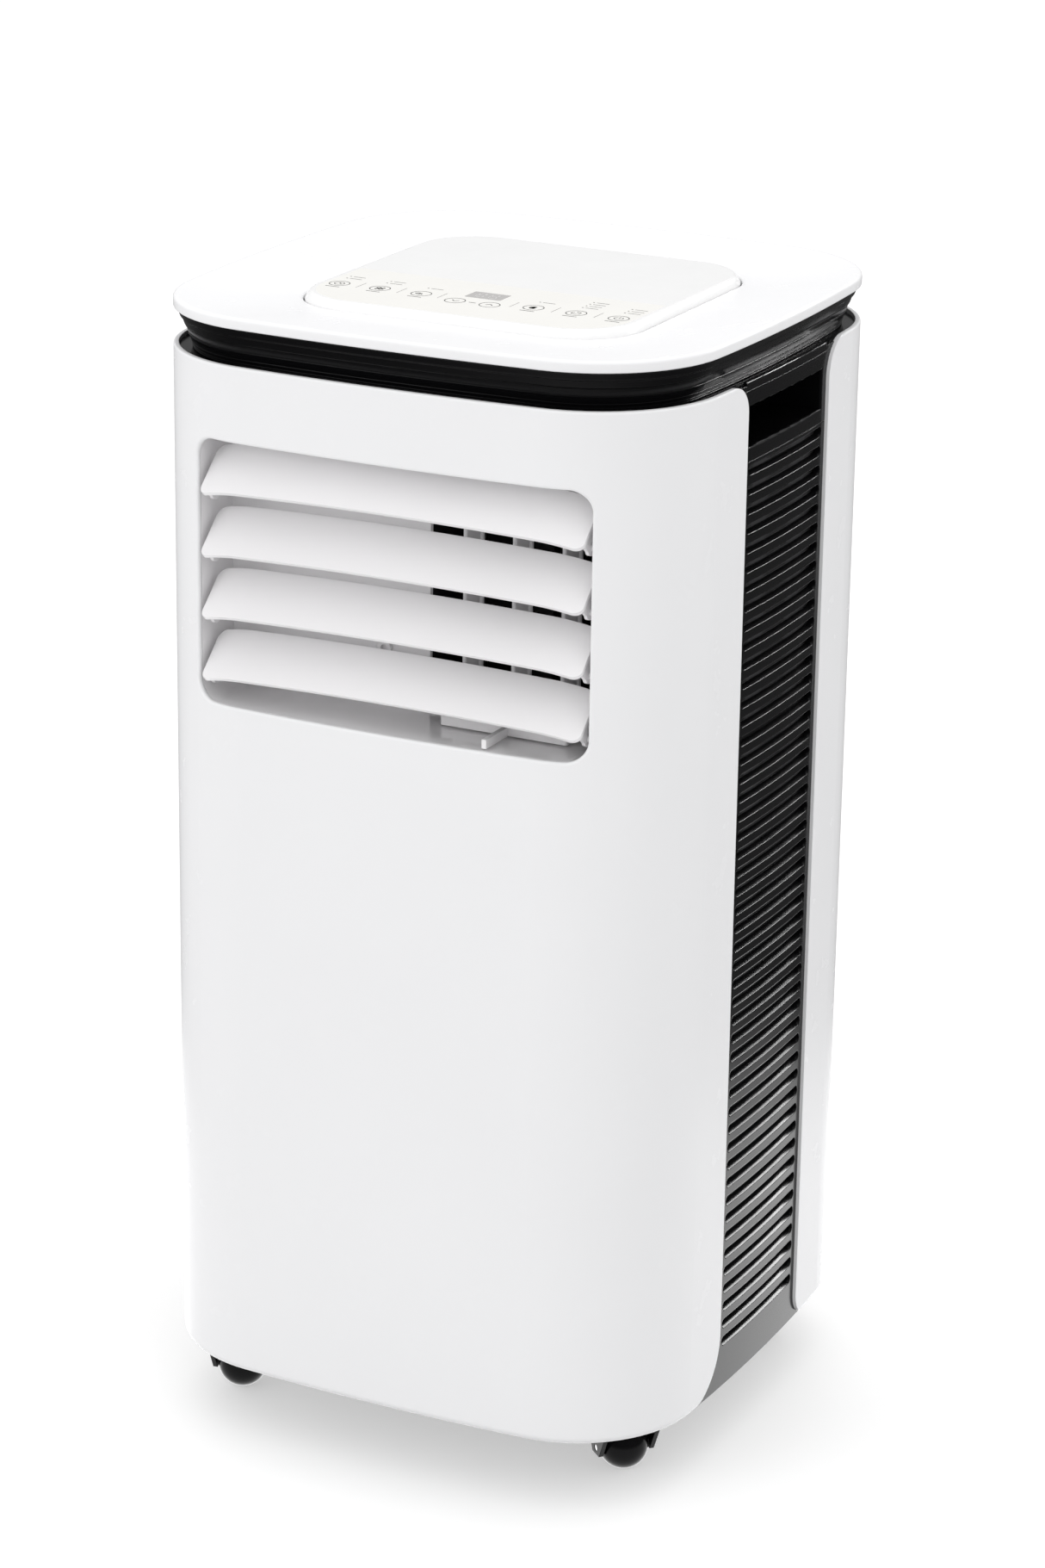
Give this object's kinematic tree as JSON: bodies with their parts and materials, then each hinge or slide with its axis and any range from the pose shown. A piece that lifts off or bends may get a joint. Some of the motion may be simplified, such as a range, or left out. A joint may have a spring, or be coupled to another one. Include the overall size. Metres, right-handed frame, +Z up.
{
  "type": "portable air conditioner",
  "caption": "Portable air conditioner on casters: white crowned casing, black side grilles and handles, louvred front outlet, top touch panel and rear exhaust port.",
  "frame": {"origin": "on the floor under the middle of the casing", "axes": "+Z up, the front outlet faces -Y, +X towards the side with the vaned half of the outlet"},
  "size_m": [0.345, 0.3466, 0.6955],
  "materials": {
    "white_shell": "gloss moulded",
    "white_pad": "gloss moulded",
    "cream_overlay": "satin film",
    "grey_window": "smoked window",
    "gloss_black": "piano black",
    "outlet_white": "gloss moulded",
    "blade_white": "satin gloss",
    "vane_white": "satin",
    "black_plastic": "fine texture",
    "fan_plastic": "moulded",
    "mesh": "woven nylon",
    "black_rubber": "moulded rubber",
    "coil_aluminium": "finned",
    "copper": "drawn copper tube",
    "black_enamel": "enamel",
    "motor_steel": "zinc plated",
    "capacitor_can": "drawn can",
    "circuit_board": "laminate",
    "screw_steel": "zinc plated",
    "caster_black": "satin",
    "wheel_black": "satin"
  },
  "bodies": {
    "housing": {"base_pan": "black_plastic", "front_panel": "white_shell", "rear_panel": "white_shell", "side_grille_left": "gloss_black", "side_grille_right": "gloss_black", "handle_left": "gloss_black", "handle_right": "gloss_black", "neck_band": "gloss_black", "top_cover": "white_shell", "control_pad": "white_pad", "control_overlay": "cream_overlay", "display_window": "grey_window", "control_board": "circuit_board", "outlet_box": "outlet_white", "outlet_duct": "black_plastic", "upper_scroll": "black_plastic", "upper_fan_motor": "motor_steel", "evaporator_coil": "coil_aluminium", "drip_tray": "black_plastic", "lower_scroll": "black_plastic", "lower_fan_motor": "motor_steel", "condenser_coil": "coil_aluminium", "compressor": "black_enamel", "compressor_feet": "black_rubber", "accumulator": "black_enamel", "refrigerant_pipes": "copper", "electrical_box": "black_plastic", "run_capacitor": "capacitor_can", "louvre_motor": "motor_steel", "exhaust_collar": "black_plastic", "lower_intake_grille": "black_plastic", "cord_gland": "black_rubber", "panel_screws": "screw_steel"},
    "louvre_blade_1": {"louvre_blade_1": "blade_white"},
    "louvre_blade_2": {"louvre_blade_2": "blade_white"},
    "louvre_blade_3": {"louvre_blade_3": "blade_white"},
    "louvre_blade_4": {"louvre_blade_4": "blade_white"},
    "louvre_link": {"louvre_link": "vane_white"},
    "vane_1": {"vane_1": "vane_white"},
    "vane_2": {"vane_2": "vane_white"},
    "vane_3": {"vane_3": "vane_white"},
    "vane_link": {"vane_link": "vane_white"},
    "upper_fan": {"upper_impeller": "fan_plastic"},
    "lower_fan": {"lower_impeller": "fan_plastic"},
    "filter_cassette": {"filter_frame": "black_plastic", "filter_mesh": "mesh"},
    "upper_drain_cap": {"upper_drain_cap": "black_rubber"},
    "lower_drain_cap": {"lower_drain_cap": "black_rubber"},
    "caster_front_left": {"caster_fork_front_left": "caster_black", "caster_axle_front_left": "screw_steel"},
    "wheel_front_left": {"caster_wheel_front_left": "wheel_black"},
    "caster_front_right": {"caster_fork_front_right": "caster_black", "caster_axle_front_right": "screw_steel"},
    "wheel_front_right": {"caster_wheel_front_right": "wheel_black"},
    "caster_rear_left": {"caster_fork_rear_left": "caster_black", "caster_axle_rear_left": "screw_steel"},
    "wheel_rear_left": {"caster_wheel_rear_left": "wheel_black"},
    "caster_rear_right": {"caster_fork_rear_right": "caster_black", "caster_axle_rear_right": "screw_steel"},
    "wheel_rear_right": {"caster_wheel_rear_right": "wheel_black"}
  },
  "joints": [
    {"name": "louvre_swing", "type": "hinge", "parent": "housing", "child": "louvre_blade_1", "pos_m": [0, -0.1515, 0.5881], "axis": [1, 0, 0], "range_deg": [-5, 43]},
    {"name": "louvre_swing_2", "type": "hinge", "parent": "housing", "child": "louvre_blade_2", "pos_m": [0, -0.1515, 0.5512], "axis": [1, 0, 0], "range_deg": [-5, 43]},
    {"name": "louvre_swing_3", "type": "hinge", "parent": "housing", "child": "louvre_blade_3", "pos_m": [0, -0.1515, 0.5143], "axis": [1, 0, 0], "range_deg": [-5, 43]},
    {"name": "louvre_swing_4", "type": "hinge", "parent": "housing", "child": "louvre_blade_4", "pos_m": [0, -0.1515, 0.4774], "axis": [1, 0, 0], "range_deg": [-5, 43]},
    {"name": "louvre_link_turn", "type": "hinge", "parent": "louvre_blade_1", "child": "louvre_link", "pos_m": [-0.1315, -0.1395, 0.5881], "axis": [1, 0, 0], "range_deg": [-43, 5]},
    {"name": "vane_swing", "type": "hinge", "parent": "housing", "child": "vane_1", "pos_m": [0.0288, -0.107, 0.547], "axis": [0, 0, 1], "range_deg": [-30, 30]},
    {"name": "vane_swing_2", "type": "hinge", "parent": "housing", "child": "vane_2", "pos_m": [0.06, -0.107, 0.547], "axis": [0, 0, 1], "range_deg": [-30, 30]},
    {"name": "vane_swing_3", "type": "hinge", "parent": "housing", "child": "vane_3", "pos_m": [0.0912, -0.107, 0.547], "axis": [0, 0, 1], "range_deg": [-30, 30]},
    {"name": "vane_link_turn", "type": "hinge", "parent": "vane_1", "child": "vane_link", "pos_m": [0.0288, -0.1346, 0.47], "axis": [0, 0, 1], "range_deg": [-30, 30]},
    {"name": "upper_fan_spin", "type": "hinge", "parent": "housing", "child": "upper_fan", "pos_m": [-0.04, 0, 0.55], "axis": [0, 1, 0], "continuous": true},
    {"name": "lower_fan_spin", "type": "hinge", "parent": "housing", "child": "lower_fan", "pos_m": [0.038, 0.07, 0.165], "axis": [0, 1, 0], "continuous": true},
    {"name": "filter_pull", "type": "slide", "parent": "housing", "child": "filter_cassette", "axis": [0, 1, 0], "range_m": [0, 0.06]},
    {"name": "upper_drain_cap_pull", "type": "slide", "parent": "housing", "child": "upper_drain_cap", "axis": [0, 1, 0], "range_m": [0, 0.02]},
    {"name": "lower_drain_cap_pull", "type": "slide", "parent": "housing", "child": "lower_drain_cap", "axis": [0, 1, 0], "range_m": [0, 0.02]},
    {"name": "swivel_front_left", "type": "hinge", "parent": "housing", "child": "caster_front_left", "pos_m": [-0.132, -0.1, 0.043], "axis": [0, 0, 1], "continuous": true},
    {"name": "roll_front_left", "type": "hinge", "parent": "caster_front_left", "child": "wheel_front_left", "pos_m": [-0.13061, -0.10788, 0.015], "axis": [0.9848, 0.1736, 0], "continuous": true},
    {"name": "swivel_front_right", "type": "hinge", "parent": "housing", "child": "caster_front_right", "pos_m": [0.132, -0.1, 0.043], "axis": [0, 0, 1], "continuous": true},
    {"name": "roll_front_right", "type": "hinge", "parent": "caster_front_right", "child": "wheel_front_right", "pos_m": [0.12601, -0.0947, 0.015], "axis": [-0.6626, -0.749, 0], "continuous": true},
    {"name": "swivel_rear_left", "type": "hinge", "parent": "housing", "child": "caster_rear_left", "pos_m": [-0.134, 0.117, 0.043], "axis": [0, 0, 1], "continuous": true},
    {"name": "roll_rear_left", "type": "hinge", "parent": "caster_rear_left", "child": "wheel_rear_left", "pos_m": [-0.14093, 0.121, 0.015], "axis": [-0.5, -0.866, 0], "continuous": true},
    {"name": "swivel_rear_right", "type": "hinge", "parent": "housing", "child": "caster_rear_right", "pos_m": [0.134, 0.117, 0.043], "axis": [0, 0, 1], "continuous": true},
    {"name": "roll_rear_right", "type": "hinge", "parent": "caster_rear_right", "child": "wheel_rear_right", "pos_m": [0.12664, 0.11387, 0.015], "axis": [0.3907, -0.9205, 0], "continuous": true}
  ],
  "couplings": [
    {"joint": "louvre_swing_2", "follows": "louvre_swing", "ratio": 1},
    {"joint": "louvre_swing_3", "follows": "louvre_swing", "ratio": 1},
    {"joint": "louvre_swing_4", "follows": "louvre_swing", "ratio": 1},
    {"joint": "louvre_link_turn", "follows": "louvre_swing", "ratio": -1},
    {"joint": "vane_swing_2", "follows": "vane_swing", "ratio": 1},
    {"joint": "vane_swing_3", "follows": "vane_swing", "ratio": 1},
    {"joint": "vane_link_turn", "follows": "vane_swing", "ratio": -1}
  ]
}
